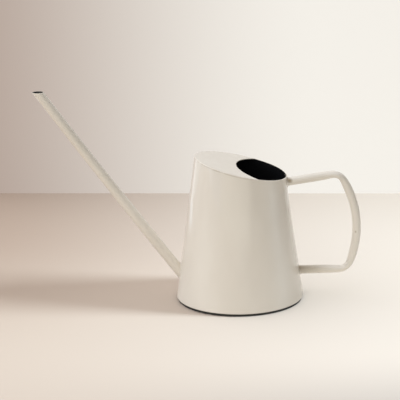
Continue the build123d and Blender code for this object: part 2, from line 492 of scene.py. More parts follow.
@dataclass
class Spout(Tube):
    """Tapered tube with a level mouth, standing on the wall round its hole. Turn 0 is its lower side.

    The plug is how far the cutter of that hole reaches back and out from the wall, in root diameters.
    """

    root_height: float = 34.2 * MM
    rise: float = 54.1
    root_diameter: float = 12.6 * MM
    tip_diameter: float = 11.2 * MM
    wall: float = 1.1 * MM
    mouth_wall: float = 0.55 * MM
    mouth_depth: float = 3.0 * MM
    lip: float = 0.25 * MM
    bow: float = 0.9 * MM
    plug: Band = (-1.2, 0.6)
    weld: float = 1.2 * MM
    weld_fullness: float = 0.35
    weld_ripple: tuple[Wave, ...] = (Wave(0.06, 11, 0.5), Wave(0.05, 17))
    tip_height: float = field(init=False)

    def __post_init__(self) -> None:
        """Takes the tip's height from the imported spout."""
        self.tip_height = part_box("spout_tube")[1].z

    @property
    def axis(self) -> Array:
        """Direction up the spout."""
        rise = math.radians(self.rise)
        return np.array((-math.cos(rise), 0.0, math.sin(rise)))

    @property
    def lower_side(self) -> Array:
        """Direction square to the axis, out of the spout's lower side."""
        return np.array((-self.axis[2], 0.0, self.axis[0]))

    @property
    def root(self) -> Array:
        """Where the axis meets the wall's outside."""
        return np.array((-self.cone.radius(self.root_height), 0.0, self.root_height))

    @property
    def length(self) -> float:
        """Length of the axis from wall to tip."""
        return (self.tip_height - self.root_height) / self.axis[2]

    @property
    def growth(self) -> float:
        """Gain of radius for each unit up the axis."""
        return (self.tip_diameter - self.root_diameter) / 2 / self.length

    @property
    def outward(self) -> Array:
        """Directions out of the tube, one for each angle."""
        return np.cos(self.turn)[:, None] * self.lower_side + np.sin(self.turn)[:, None] * ACROSS

    def radius(self, along: Array) -> Array:
        """Outside radius at a distance up the axis."""
        return self.root_diameter / 2 + self.growth * along

    def centre(self, along: Array) -> Array:
        """Axis with a slight sag: a parabola that is zero at the root and the tip.

        Args:
            along: distances up the axis.
        Returns:
            The points.
        """
        share = np.clip(along / self.length, 0, 1)
        sag = 4 * self.bow * share * (1 - share)
        return self.root + along[..., None] * self.axis + sag[..., None] * self.lower_side

    def place(self, along: Array, inset: Numbers) -> Array:
        """Points of the tube: the axis point, plus the radius less the inset out of the tube.

        Args:
            along: distance up the axis, columns last.
            inset: depth below the tube's outside.
        Returns:
            The points.
        """
        return self.centre(along) + (self.radius(along) - inset)[..., None] * self.outward

    def ends(self, inset: float) -> tuple[Array, Array]:
        """Distances up the axis at which each line of the tube leaves the wall and reaches the mouth.

        Args:
            inset: depth below the tube's outside.
        Returns:
            The distances at the wall, and those at the mouth.
        """
        start = self.root + (self.root_diameter / 2 - inset) * self.outward
        heading = self.axis + self.growth * self.outward
        return self.cone.hit(start, heading), (self.tip_height - start[:, 2]) / heading[:, 2]

    def tube(self) -> Array:
        """Tube with a rounded lip, whose bore opens a little towards the mouth.

        Its outline runs up the outside, over the lip, down the wider bore, down the bore and out at the foot.

        Returns:
            Rows along the outline, columns round the axis.
        """
        foot, tip = self.ends(0.0)
        lip_tip = self.ends(self.mouth_wall)[1]
        inner_foot = self.ends(self.wall)[0]
        corners = corners_of((foot, 0.0), (tip, 0.0), (lip_tip, self.mouth_wall),
                             (lip_tip - self.mouth_depth, self.wall), (inner_foot, self.wall))
        rounding = np.array((0.0, self.lip, self.lip, 2 * self.lip, 0.0))
        return self.carried(corners, rounding, steps=6, runs=(70, 1, 6, 40, 1))

    def lining(self, points: Array) -> Array:
        """How far through the tube's wall points lie, where the wall thins towards the mouth.

        Args:
            points: points of the tube.
        Returns:
            0 on the outside to 1 on the inside.
        """
        along = (points - self.root) @ self.axis
        reach = np.linalg.norm(points - self.centre(along), axis=-1)
        full = np.clip((self.tip_height - points[:, 2]) / self.mouth_depth, 0, 1)
        wall = self.mouth_wall + (self.wall - self.mouth_wall) * full
        return (self.radius(along) - reach) / wall

    def bore(self) -> Array:
        """Plug of the bore at the root, which cuts the hole in the wall.

        Returns:
            Rows from one end's middle over the side to the other's, columns round the tube.
        """
        back, out = self.root + np.multiply.outer(self.plug, self.root_diameter * self.axis)
        edge = (self.root_diameter / 2 - self.wall) * self.outward
        flat = np.zeros_like(edge)
        return np.stack([back + flat, back + edge, out + edge, out + flat])

    def skins(self) -> list[Skin]:
        """The tube and the weld round its root.

        Returns:
            Both skins.
        """
        leg = self.weld * (1 + ripples(self.weld_ripple, self.turn))
        corner = self.place(self.ends(0.0)[0], 0.0)
        bead = self.cone.bead(corner, self.axis, self.outward, leg, self.weld_fullness)
        return [Skin("spout_tube", Slot.CREAM, self.tube(), lining=self.lining),
                Skin("spout_weld", Slot.CREAM, bead)]


@dataclass
class Body(Assembly):
    """Rolled wall, its rear seam, the crescent cover over the front of the rim and the weld under it.

    The seam's inner bead grows over seam_rise above the flange, with ripples of seam_pitch. The lower edge
    of the wall is rounded up its outside, under it and on its inside. The rim is rounded by mouth_edge and
    inner_edge round the mouth, and at the front over the share front_round of its thickness. Its cream ends
    at the black_line on the inside, within the shares black_fade of it. The cover runs out between the two
    cosines of cover_end, and is let into the wall by the share cover_bite. Its outer part is bent over
    cover_bend. At its narrow tips the bend and the edge take no more than the shares tip_bend and tip_edge.
    """

    cone: Cone
    spout: Spout
    seam_gap: float = 1.2 * MM
    seam_bead: float = 1.4 * MM
    seam_crown: float = 0.12 * MM
    seam_rise: float = 4.0 * MM
    seam_pitch: float = 2.4 * MM
    seam_ripple: float = 0.06
    seam_round: float = 0.9
    seam_rows: int = 120
    least: float = 0.05 * MM
    lower_edge: float = 0.9 * MM
    lower_under: float = 0.54 * MM
    lower_inner: float = 0.18 * MM
    shoulder_reach: float = 2.0 * MM
    shoulder_drop: float = 1.0 * MM
    uneven: tuple[Wave, ...] = (Wave(0.07, 13), Wave(0.06, 23, 1.0), Wave(0.05, 41, 2.0))
    front_round: float = 0.9
    mouth_edge: float = 0.4 * MM
    inner_edge: float = 0.12 * MM
    front_inner_edge: float = 0.02 * MM
    black_line: float = 0.3 * MM
    black_fade: Band = (0.3, 0.9)
    mouth_radius: float = 60.3 * MM
    mouth_centre: float = 57.8 * MM
    cover_end: Band = (-0.35, 0.2)
    cover_bite: float = 0.15
    cover_edge: float = 0.3 * MM
    cover_bend: float = 2.2 * MM
    tip_width: float = 0.01 * MM
    tip_bend: float = 0.55
    tip_edge: float = 0.4
    cover_columns: int = 200
    cover_weld: float = 2.0 * MM
    cover_weld_ripple: tuple[Wave, ...] = (Wave(0.08, 90),)
    cover_weld_columns: int = 160
    arc_steps: int = 400
    columns: int = 320

    @property
    def cover_sheet(self) -> float:
        """Thickness of the sloping cover measured upright."""
        return self.cone.sheet / math.cos(math.radians(self.cone.rim_slope))

    def covered(self, angle: Array) -> Array:
        """1 where the cover is welded into the rim, easing to 0 round the open mouth."""
        return ease(self.cover_end, -np.cos(angle))

    def shoulder(self, angle: Array, inset: Numbers) -> Array:
        """How far the dressed front edge lies below the rim's plane.

        A quarter of an ellipse: all of shoulder_drop at the outside, none from shoulder_reach inwards. It is
        a little uneven round the edge and fades out where the cover ends.

        Args:
            angle: angles about the Z axis.
            inset: level distances inside the outside of the rim.
        Returns:
            The drops.
        """
        reach = self.shoulder_reach * (1 + ripples(self.uneven, angle))
        share = np.clip(1 - inset / reach, 0, 1)
        return self.shoulder_drop * self.covered(angle) * (1 - np.sqrt(1 - share ** 2))

    def wall(self) -> Array:
        """Wall as an outline of rounded corners carried round the axis, open at the rear seam.

        The corners are the lower edge, the rim and a line just under the rim on the inside. At the front
        the rim follows the shoulder: its inner corner is on it, and its outer corner is on the tangent there.

        Returns:
            Rows along the outline, columns round the axis.
        """
        cone, lower = self.cone, self.cone.foot_height
        turn = np.linspace(0, 2 * np.pi, self.columns)
        covered = self.covered(turn)
        drop = self.shoulder(turn, cone.skin)
        slope = (self.shoulder(turn, cone.skin - self.least) - drop) / self.least
        outer_drop = drop + slope * cone.skin
        inner_rim = cone.lowered(cone.rim(turn, cone.skin), drop)
        outer_rim = cone.lowered(cone.rim(turn), outer_drop)
        black_line = cone.lowered(inner_rim, self.black_line)
        corners = corners_of((cone.base_radius, lower), outer_rim, inner_rim, black_line,
                             (cone.base_radius - cone.skin, lower))
        soft = self.mouth_edge * (1 - covered) + (self.shoulder_drop * covered - outer_drop)
        inward = self.mouth_edge + (self.front_round * cone.skin - self.mouth_edge) * covered
        inner = self.inner_edge + (self.front_inner_edge - self.inner_edge) * covered
        before = spread(self.lower_under, soft, inner, 0.0, self.lower_inner)
        after = spread(self.lower_edge, inward, inner, 0.0, self.lower_inner)
        outline = rounded_outline(corners, before, after, steps=7, runs=(72, 2, 0, 36, 2))
        radius, height = outline[..., 0].T, outline[..., 1].T
        below = cone.below_rim(spin(radius, height, turn))
        radius = radius + cone.waves(turn, height) + cone.flared(turn, below)
        slit = np.arcsin(self.seam_gap / 2 / radius)
        return spin(radius, height, np.pi + (turn - np.pi) * (1 - slit / np.pi))

    def wall_lining(self, points: Array) -> Array:
        """How far through the wall points lie, taken as 0 all over the rim, which is cream.

        Args:
            points: points of the wall or its seam.
        Returns:
            0 on the outside to 1 on the inside.
        """
        below = self.cone.below_rim(points)
        angle = np.arctan2(points[:, 1], points[:, 0])
        flared = self.cone.flared(angle, below)
        inward = self.cone.depth(points) + flared / self.cone.skin
        below = below + self.cone.fall * flared * np.cos(angle) - self.shoulder(angle, self.cone.skin)
        return inward * ease(self.black_fade, below / self.black_line)

    def seam(self) -> Array:
        """Weld in the seam: a T section, crowned outside and round inside, carried up the rear.

        Returns:
            Rows round the section, columns up the wall.
        """
        cone, half = self.cone, self.seam_gap / 2
        bottom, top = cone.foot_height, float(cone.rim(0.0)[1])
        level = np.linspace(bottom, top, self.seam_rows)
        straight = cone.radius(level)
        below = cone.below_rim(spin(straight, level, 0.0))
        outside = straight + cone.waves(0.0, level) + cone.flared(0.0, below)
        inside = outside - cone.skin
        risen = ease((bottom + cone.flange, bottom + cone.flange + self.seam_rise), level)
        ripple = 1 + self.seam_ripple * np.cos(level * 2 * np.pi / self.seam_pitch)
        bead = self.seam_bead * ripple * risen + self.least
        wide = np.maximum(bead, half + self.least)
        corners = corners_of((outside, -half), (outside + 2 * self.seam_crown, 0.0), (outside, half),
                             (inside, half), (inside, wide), (inside - bead, wide),
                             (inside - bead, -wide), (inside, -wide), (inside, -half))
        crown, inner = self.seam_round * half, self.seam_round * bead
        bulge = spread(0.0, crown, 0.0, 0.0, 0.0, inner, inner, 0.0, 0.0)
        outline = rounded_outline(corners, bulge, bulge, steps=6, runs=(0,) * bulge.shape[-1])
        reach, side = outline[..., 0].T, outline[..., 1].T
        height = np.minimum(level, cone.rim_height - cone.fall * reach)
        return spread(np.sqrt(reach ** 2 - side ** 2), side, height)

    def mouth_tip(self) -> float:
        """Half angle of the mouth's arc at which it meets the inside of the wall, by interpolation.

        Returns:
            The angle, in radians.
        """
        arc = np.linspace(0, np.pi / 2, self.arc_steps)
        plan = self.mouth_plan(arc)
        height = self.cone.rim_height - self.cone.fall * plan[:, 0]
        clear = self.cone.radius(height) - self.cone.skin - np.hypot(plan[:, 0], plan[:, 1])
        return float(np.interp(0, -clear, arc))

    def mouth_plan(self, arc: Array) -> Array:
        """Level places of the cover's concave edge: a circle in the rim's plane, seen from above.

        Args:
            arc: angles from the middle of the edge, in radians.
        Returns:
            The places.
        """
        down = self.mouth_centre - self.mouth_radius * np.cos(arc)
        slope = math.radians(self.cone.rim_slope)
        return spread(down * math.cos(slope), self.mouth_radius * np.sin(arc))

    def crescent(self, columns: int) -> tuple[Array, Array, Array]:
        """Both edges of the cover.

        Args:
            columns: points along each edge, from one tip of the crescent to the other.
        Returns:
            Angle about the Z axis and radius of the edge in the wall, and level places of the concave edge.
        """
        across = np.linspace(-1, 1, columns)
        mouth = self.mouth_plan(self.mouth_tip() * across)
        turn = np.pi - (np.pi - math.atan2(mouth[-1, 1], mouth[-1, 0])) * across
        return turn, self.cone.rim(turn, (1 - self.cover_bite) * self.cone.skin)[0], mouth

    def cover(self) -> Array:
        """Cover as an outline of share across the crescent and depth, carried from tip to tip.

        The sheet keeps its thickness, and its outer part is bent down along the shoulder.

        Returns:
            Rows along the outline, columns from tip to tip.
        """
        turn, radius, mouth = self.crescent(self.cover_columns)
        rim = spin(radius, 0.0, turn)[:, :2]
        width = np.maximum(np.linalg.norm(mouth - rim, axis=-1), self.tip_width)
        bent = np.minimum(self.cover_bend / width, self.tip_bend)
        corners = corners_of((0.0, 0.0), (bent, 0.0), (1.0, 0.0), (1.0, 1.0), (bent, 1.0), (0.0, 1.0))
        sideways = np.minimum(self.cover_edge / width, self.tip_edge)
        deep = self.cover_edge / self.cone.sheet
        before = spread(0.0, 0.0, sideways, deep, 0.0, 0.0)
        after = spread(0.0, 0.0, deep, sideways, 0.0, 0.0)
        outline = rounded_outline(corners, before, after, steps=5, runs=(14, 20, 1, 12, 8, 1))
        share, depth = outline[..., 0].T, outline[..., 1].T
        plan = rim + share[..., None] * (mouth - rim)
        height = self.cone.rim_height - self.cone.fall * plan[..., 0] - self.bent_down(plan)
        return np.concatenate([plan, (height - depth * self.cover_sheet)[..., None]], -1)

    def bent_down(self, plan: Array) -> Array:
        """Drop of the shoulder at level places."""
        angle = np.arctan2(plan[..., 1], plan[..., 0])
        return self.shoulder(angle, self.cone.rim(angle)[0] - np.hypot(plan[..., 0], plan[..., 1]))

    def cover_depth(self, points: Array) -> Array:
        """How far through the cover points lie: 0 on top and 1 underneath."""
        return (self.cone.below_rim(points) - self.bent_down(points)) / self.cover_sheet

    def underside(self, turn: Array, radius: Array, inward: Numbers) -> Array:
        """Points on the cover's underside, a level distance inward from its edge in the wall.

        Args:
            turn, radius: angle and radius of that edge.
            inward: the distances.
        Returns:
            The points.
        """
        reach = radius - inward
        plane = self.cone.rim_height - self.cone.fall * reach * np.cos(turn)
        return spin(reach, plane - self.cover_sheet - self.shoulder(turn, self.cone.skin + inward), turn)

    def under_cover(self) -> Array:
        """Weld under the cover: one toe down the wall and one along the cover, fading at the tips.

        Returns:
            Rows round the section, columns from tip to tip.
        """
        turn, radius, _ = self.crescent(self.cover_weld_columns)
        across = np.linspace(-1, 1, len(turn))
        faded = np.sqrt(np.clip(1 - across ** 2, 0, 1))
        leg = self.cover_weld * faded * (1 + ripples(self.cover_weld_ripple, across))
        corner = self.underside(turn, radius, 0.0)
        down = spin(radius + self.cone.lean * leg, corner[:, 2] - leg, turn)
        along = self.underside(turn, radius, leg)
        middle = (corner + (down + along) / 2) / 2
        return np.concatenate([hump(down, middle, along, steps=7), corner[None]])

    def skins(self) -> list[Skin]:
        """The wall, its seam, the cover and its weld.

        Returns:
            The four skins.
        """
        return [Skin("body_wall", Slot.CREAM, self.wall(), wrap_columns=False, lining=self.wall_lining,
                     cutters=(self.spout.bore(),)),
                Skin("body_seam_weld", Slot.CREAM, self.seam(), wrap_columns=False, lining=self.wall_lining),
                Skin("top_cover", Slot.CREAM, self.cover(), wrap_columns=False, lining=self.cover_depth),
                Skin("cover_weld", Slot.LINING, self.under_cover(), wrap_columns=False)]


@dataclass
class Base(Assembly):
    """Pressed base, the weld in the groove at its bend and the soft pad under it, whose black also serves as
    painted shade for the dark line under the can.
    """

    cone: Cone
    bend: float = 2.2 * MM
    inner_bend: float = 1.3 * MM
    flange_edge: float = 0.25 * MM
    pad_inset: float = 1.5 * MM
    pad_edge: float = 0.5 * MM
    pad_upper_edge: float = 0.15 * MM
    columns: int = 192

    @property
    def inner(self) -> float:
        """Radius of the inside of the wall at its lower edge."""
        return self.cone.base_radius - self.cone.skin

    def disc(self) -> Array:
        """Flat disc with its edge turned up along the wall.

        Returns:
            Rows along the outline, columns round the axis.
        """
        cone, floor = self.cone, self.cone.foot_height
        inside, top = floor + cone.sheet, floor + cone.flange
        tip = cone.radius(top) - cone.skin
        crook = self.inner - cone.skin - cone.lean * cone.sheet
        corners = corners_of((0.0, floor), (self.inner, floor), (tip, top), (tip - cone.skin, top),
                             (crook, inside), (0.0, inside))
        edge = self.flange_edge
        rounding = np.array((0.0, self.bend, edge, edge, self.inner_bend, 0.0))
        outline = rounded_outline(corners, rounding, rounding, steps=7, runs=(12, 4, 1, 4, 12, 0))
        return revolved(outline, self.columns)

    def groove(self) -> Array:
        """Weld between the wall's lower edge and the base's bend, with the bend's own curve as one side.

        Returns:
            Rows along the outline, columns round the axis.
        """
        corner = np.array((self.inner, self.cone.foot_height))
        level = corner - np.array((self.bend, 0))
        up = corner + self.bend * unit(np.array((-self.cone.lean, 1.0)))
        return revolved(np.concatenate([hump(level, corner, up, steps=7), corner[None]]), self.columns)

    def pad(self) -> Array:
        """Round pad with a rounded lower edge.

        Returns:
            Rows along the outline, columns round the axis.
        """
        edge, top = self.cone.base_radius - self.pad_inset, self.cone.foot_height
        corners = corners_of((0.0, 0.0), (edge, 0.0), (edge, top), (0.0, top))
        rounding = np.array((0.0, self.pad_edge, self.pad_upper_edge, 0.0))
        outline = rounded_outline(corners, rounding, rounding, steps=6, runs=(8, 2, 8, 0))
        return revolved(outline, self.columns)

    def skins(self) -> list[Skin]:
        """The disc, the weld in its groove and the pad.

        Returns:
            The three skins.
        """
        # The black pad also stands in for the dark shade line under the can.
        return [Skin("base_disc", Slot.LINING, self.disc()),
                Skin("base_seam_weld", Slot.CREAM, self.groove()),
                Skin("foot_pad", Slot.RUBBER, self.pad())]


@dataclass
class Handle(Tube):
    """Bent tube with a weld at each end. Turn 0 is on the outer side of the bends.

    The tube is a little flattened at its two tight bends, by outer_flat and inner_flat on their two sides,
    and swells across by the share flat_swell of both. The flattening fades over the share flat_spread of a
    bend's length. The axis is worked out at evenly spaced samples and softened over an odd number of them.
    """

    diameter: float = 10.0 * MM
    wall: float = 1.0 * MM
    drop: float = 8.4 * MM
    lift: float = 32.2 * MM
    rise: float = 7.8
    grip_reach: float = 139.0 * MM
    grip_height: float = 83.2 * MM
    grip_radius: float = 115.0 * MM
    bend_radius: float = 14.0 * MM
    outer_flat: float = 0.9 * MM
    inner_flat: float = 1.5 * MM
    flat_swell: float = 0.4
    flat_spread: float = 0.75
    weld: float = 1.7 * MM
    weld_fullness: float = 0.45
    weld_lumps: tuple[Wave, ...] = (Wave(0.16, 5, 1.0), Wave(0.12, 9), Wave(0.08, 14))
    samples: int = 6001
    soften: int = 161
    knots: Array = field(init=False)
    line: dict[str, Array] = field(init=False)

    def __post_init__(self) -> None:
        """Works the axis out once."""
        self.trace()

    @property
    def bow_centre(self) -> Array:
        """Centre of the grip's bow, as level place and height."""
        return np.array((self.grip_reach - self.grip_radius, self.grip_height))

    def bend_centre(self, point: Array, angle: float, side: float) -> Array:
        """Centre of the bend between a straight run and the grip's bow.

        It lies one bend radius from the run, and as far from the bow's centre as the two radii differ.

        Args:
            point: a point on the run, as level place and height.
            angle: the run's direction away from the wall, in radians.
            side: 1 for a centre on the left of that direction, -1 for the right.
        Returns:
            The centre, from the bow's centre.
        """
        along = np.array((math.cos(angle), math.sin(angle)))
        inward = np.array((-along[1], along[0])) * side
        offset = point + inward * self.bend_radius - self.bow_centre
        back = offset @ along
        reach = self.grip_radius - self.bend_radius
        return offset + along * (math.sqrt(back ** 2 - offset @ offset + reach ** 2) - back)

    def trace(self) -> None:
        """Axis of the tube from its upper end to its lower end.

        Its direction is steady on the runs and turns evenly on the bends and the bow. The direction,
        softened by a short moving average, is summed along the length into places.
        """
        rise = math.radians(self.rise)
        top_height = float(self.cone.rim(0.0)[1]) - self.drop
        top = np.array((self.cone.radius(top_height), top_height))
        foot = np.array((self.cone.radius(self.lift), self.lift))
        high, low = self.bend_centre(top, rise, -1), self.bend_centre(foot, 0.0, 1)
        leave, arrive = (math.atan2(bend[1], bend[0]) - math.pi / 2 for bend in (high, low))
        away = np.array((math.cos(rise), math.sin(rise)))
        inward = np.array((away[1], -away[0]))
        lengths = ((self.bow_centre + high - inward * self.bend_radius - top) @ away,
                   self.bend_radius * (rise - leave), self.grip_radius * (leave - arrive),
                   self.bend_radius * (arrive + math.pi), self.bow_centre[0] + low[0] - foot[0])
        self.knots = np.concatenate([[0.0], np.cumsum(lengths)])
        end = self.knots[-1] + self.diameter
        along, step = np.linspace(-self.diameter, end, self.samples, retstep=True)
        heading = np.interp(along, self.knots, (rise, rise, leave, arrive, -math.pi, -math.pi))
        blur = np.hanning(self.soften)
        padded = np.pad(heading, self.soften // 2, mode="edge")
        heading = np.convolve(padded, blur / blur.sum(), mode="valid")
        middle = (heading[1:] + heading[:-1]) / 2
        self.line = {"along": along, "heading": heading}
        for key, part, start in (("x", np.cos(middle), top[0]), ("z", np.sin(middle), top[1])):
            summed = np.concatenate([[0.0], np.cumsum(part) * step])
            self.line[key] = summed + start - np.interp(0, along, summed)

    def flattening(self, along: Array) -> Array:
        """1 in the middle of each tight bend, fading to 0 on either side of it.

        Args:
            along: distances along the axis.
        Returns:
            The shares.
        """
        starts, ends = self.knots[[1, 3]], self.knots[[2, 4]]
        offset = (along[..., None] - (starts + ends) / 2) / (self.flat_spread * (ends - starts))
        return np.sum(np.exp(-offset ** 2), axis=-1)

    def place(self, along: Array, inset: Numbers) -> Array:
        """Points of the tube.

        The axis point, plus the cosine of the angle times the section's reach in the bends' plane, plus the
        sine times its reach across. Where the tube is flattened, the first gives way and the second swells.

        Args:
            along: distance along the axis, columns last.
            inset: depth below the tube's outside.
        Returns:
            The points.
        """
        x, z, heading = (np.interp(along, self.line["along"], self.line[key])
                         for key in ("x", "z", "heading"))
        flat = self.flattening(along)
        cosine, sine = np.cos(self.turn), np.sin(self.turn)
        give = np.where(cosine > 0, self.outer_flat, self.inner_flat)
        swell = self.flat_swell * (self.outer_flat + self.inner_flat)
        reach = (self.diameter / 2 - inset - give * flat) * cosine
        across = (self.diameter / 2 - inset + swell * flat) * sine
        return spread(x - reach * np.sin(heading), across, z + reach * np.cos(heading))

    def headings(self) -> tuple[Array, Array]:
        """Directions along the axis at its two ends."""
        rise = math.radians(self.rise)
        return np.array((math.cos(rise), 0.0, math.sin(rise))), np.array((-1.0, 0.0, 0.0))

    def ends(self, inset: float) -> tuple[Array, Array]:
        """Distances along the axis at which each line of the tube leaves the wall and comes back to it.

        Args:
            inset: depth below the tube's outside.
        Returns:
            The distances at the upper end, and those at the lower.
        """
        found = []
        for at, heading in zip((0.0, self.knots[-1]), self.headings()):
            start = self.place(np.full(self.columns, at), inset)
            ahead = self.cone.hit(start, heading)
            meet = start + ahead[:, None] * heading
            flared = self.cone.flared(np.arctan2(meet[:, 1], meet[:, 0]), self.cone.below_rim(meet))
            found.append(at + ahead + math.copysign(1, heading[0]) * flared)
        return found[0], found[1]

    def tube(self) -> Array:
        """Tube whose ends sit on the wall, with sharp edges.

        Returns:
            Rows along the outline, columns round the axis.
        """
        (start, end), (inner_start, inner_end) = self.ends(0.0), self.ends(self.wall)
        corners = corners_of((start, 0.0), (end, 0.0), (inner_end, self.wall), (inner_start, self.wall))
        return self.carried(corners, np.zeros(corners.shape[-2]), steps=1, runs=(240, 1, 160, 1))

    def bead(self, end: HandleEnd) -> Array:
        """Uneven weld round one end of the tube.

        Args:
            end: which end.
        Returns:
            Rows round the bead's section, columns round the tube.
        """
        first, last = self.headings()
        along = first if end is HandleEnd.TOP else -last
        at = self.ends(0.0)[0 if end is HandleEnd.TOP else 1]
        corner = self.place(at, 0.0)
        outward = unit(corner - self.place(at, self.diameter / 2))
        leg = self.weld * (1 + ripples(self.weld_lumps, self.turn))
        return self.cone.bead(corner, along, outward, leg, self.weld_fullness)

    def skins(self) -> list[Skin]:
        """The tube and its two welds."""
        welds = [Skin(end.value, Slot.CREAM, self.bead(end)) for end in HandleEnd]
        return [Skin("handle_tube", Slot.CREAM, self.tube())] + welds


# Finishes

Number = Union["Value", float]
Socket = bpy.types.NodeSocket


class Value:
    """A number that varies over a surface: a socket, with the arithmetic that is used on it."""

    def __init__(self, graph: "Graph", socket: Socket) -> None:
        """Wraps an output socket of a graph."""
        self.graph, self.socket = graph, socket

    def __add__(self, other: Number) -> "Value":
        """Sum."""
        return self.graph.math("ADD", self, other)

    def __radd__(self, other: float) -> "Value":
        """Sum with a plain number first."""
        return self.graph.math("ADD", other, self)

    def __sub__(self, other: Number) -> "Value":
        """Difference."""
        return self.graph.math("SUBTRACT", self, other)

    def __rsub__(self, other: float) -> "Value":
        """Difference from a plain number."""
        return self.graph.math("SUBTRACT", other, self)

    def __mul__(self, other: Number) -> "Value":
        """Product."""
        return self.graph.math("MULTIPLY", self, other)

    def __rmul__(self, other: float) -> "Value":
        """Product with a plain number first."""
        return self.graph.math("MULTIPLY", other, self)

    def ease(self, low: float, high: float) -> "Value":
        """Smooth step from 0 at low to 1 at high.

        Args:
            low, high: the two ends of the step.
        Returns:
            The share.
        """
        made = self.graph.node("ShaderNodeMapRange", {"interpolation_type": "SMOOTHSTEP"},
                               {"Value": self, "From Min": low, "From Max": high})
        return Value(self.graph, made.outputs["Result"])

    def band(self, low: float, high: float, soft: float) -> "Value":
        """1 between low and high and 0 outside, with edges as wide as soft."""
        half = soft / 2
        return self.ease(low - half, low + half) * (1 - self.ease(high - half, high + half))


@dataclass(frozen=True)
class Grain:
    """A noise: its lumps to the metre, its detail, and its stretch, under one where it is drawn out."""

    scale: float
    detail: float = 2.0
    stretch: Triple = (1.0, 1.0, 1.0)
    roughness: float = 0.55


class Graph:
    """The nodes of one material or of the world."""

    def __init__(self, owner: Union[bpy.types.Material, bpy.types.World]) -> None:
        """Empties the owner's node tree.

        Args:
            owner: the material or world.
        """
        owner.use_nodes = True
        self.tree = owner.node_tree
        self.tree.nodes.clear()

    def node(self, kind: str, settings: Optional[dict[str, Any]] = None,
             sockets: Optional[dict[Union[str, int], Any]] = None) -> bpy.types.Node:
        """Adds a node.

        Args:
            kind: the node's type.
            settings: properties, set first.
            sockets: a value, socket or Value for each named or numbered input; colours have three parts.
        Returns:
            The node.
        """
        made = self.tree.nodes.new(kind)
        for key, value in (settings or {}).items():
            setattr(made, key, value)
        for key, value in (sockets or {}).items():
            source = value.socket if isinstance(value, Value) else value
            if isinstance(source, Socket):
                self.tree.links.new(source, made.inputs[key])
            elif made.inputs[key].type == "RGBA":
                made.inputs[key].default_value = (*source, 1.0)
            else:
                made.inputs[key].default_value = source
        return made

    def math(self, operation: str, first: Number, second: Number) -> Value:
        """Math node on two numbers."""
        made = self.node("ShaderNodeMath", {"operation": operation}, {0: first, 1: second})
        return Value(self, made.outputs[0])

    def blend(self, share: Number, first: Any, second: Any, way: str = "MIX") -> Socket:
        """Colour that goes from the first to the second as the share goes from 0 to 1.

        Args:
            share: how much of the second.
            first, second: colours or their sockets.
            way: MIX, or ADD to add the second in.
        Returns:
            The colour's socket.
        """
        # A Mix node has its colours in inputs 6 and 7 and output 2, and its vectors in 4, 5 and output 1.
        made = self.node("ShaderNodeMix", {"data_type": "RGBA", "blend_type": way},
                         {0: share, 6: first, 7: second})
        return made.outputs[2]

    def place(self) -> Socket:
        """Object coordinates, which are the can's own frame."""
        return self.node("ShaderNodeTexCoord").outputs["Object"]

    def split(self, vector: Socket) -> tuple[Value, Value, Value]:
        """The three parts of a vector."""
        made = self.node("ShaderNodeSeparateXYZ", None, {0: vector})
        return tuple(Value(self, socket) for socket in made.outputs)

    def noise(self, place: Socket, grain: Grain) -> Value:
        """Noise of a grain, about 0.5 on the whole.

        Args:
            place: where it is asked about.
            grain: its lumps.
        Returns:
            The noise.
        """
        mapped = self.node("ShaderNodeMapping", None, {"Vector": place, "Scale": grain.stretch})
        made = self.node("ShaderNodeTexNoise", None, {
            "Vector": mapped.outputs[0], "Scale": grain.scale, "Detail": grain.detail,
            "Roughness": grain.roughness})
        return Value(self, made.outputs[0])

    def near(self, place: Socket, start: Triple, end: Triple) -> tuple[Value, Value]:
        """Distance from the line between two points, and the share along it of the nearest point.

        The share along it is the place's offset from the start, times the line, over the line's square.

        Args:
            place: the place that is asked about.
            start, end: the line's two ends, which differ.
        Returns:
            The distance, and the share, which may lie outside 0 to 1.
        """
        line = np.array(end) - np.array(start)
        offset = self.node("ShaderNodeVectorMath", {"operation": "SUBTRACT"}, {0: place, 1: start})
        share = self.node("ShaderNodeVectorMath", {"operation": "DOT_PRODUCT"},
                          {0: offset.outputs[0], 1: line / (line @ line)}).outputs["Value"]
        foot = self.node("ShaderNodeMix", {"data_type": "VECTOR"}, {0: share, 4: start, 5: end})
        made = self.node("ShaderNodeVectorMath", {"operation": "DISTANCE"}, {0: place, 1: foot.outputs[1]})
        return Value(self, made.outputs["Value"]), Value(self, share)

    def attribute(self, name: str) -> Value:
        """A piece's own attribute, 0 where it has none."""
        made = self.node("ShaderNodeAttribute", {"attribute_name": name})
        return Value(self, made.outputs["Fac"])

    def bump(self, height: Value, strength: float, distance: float) -> Socket:
        """Normal tilted by a height."""
        sockets = {"Strength": strength, "Distance": distance, "Height": height}
        return self.node("ShaderNodeBump", None, sockets).outputs[0]

    def principled(self, inputs: dict[str, Any]) -> Socket:
        """Principled shader with these inputs."""
        return self.node("ShaderNodeBsdfPrincipled", None, inputs).outputs[0]

    def end(self, shader: Socket, kind: str = "ShaderNodeOutputMaterial") -> None:
        """Output node fed by a shader."""
        self.node(kind, None, {"Surface": shader})


class Finish:
    """A finish of the can: a slot of the record, and what its surface is made of."""

    slot: Slot

    def inputs(self, graph: Graph, place: Socket) -> dict[str, Any]:
        """Inputs of the principled shader, from the nodes of a graph and Object coordinates."""
        raise NotImplementedError

    def material(self) -> bpy.types.Material:
        """Material of the finish, named for its slot.

        Returns:
            The material.
        """
        made = bpy.data.materials.new(self.slot.value)
        graph = Graph(made)
        graph.end(graph.principled(self.inputs(graph, graph.place())))
        return made


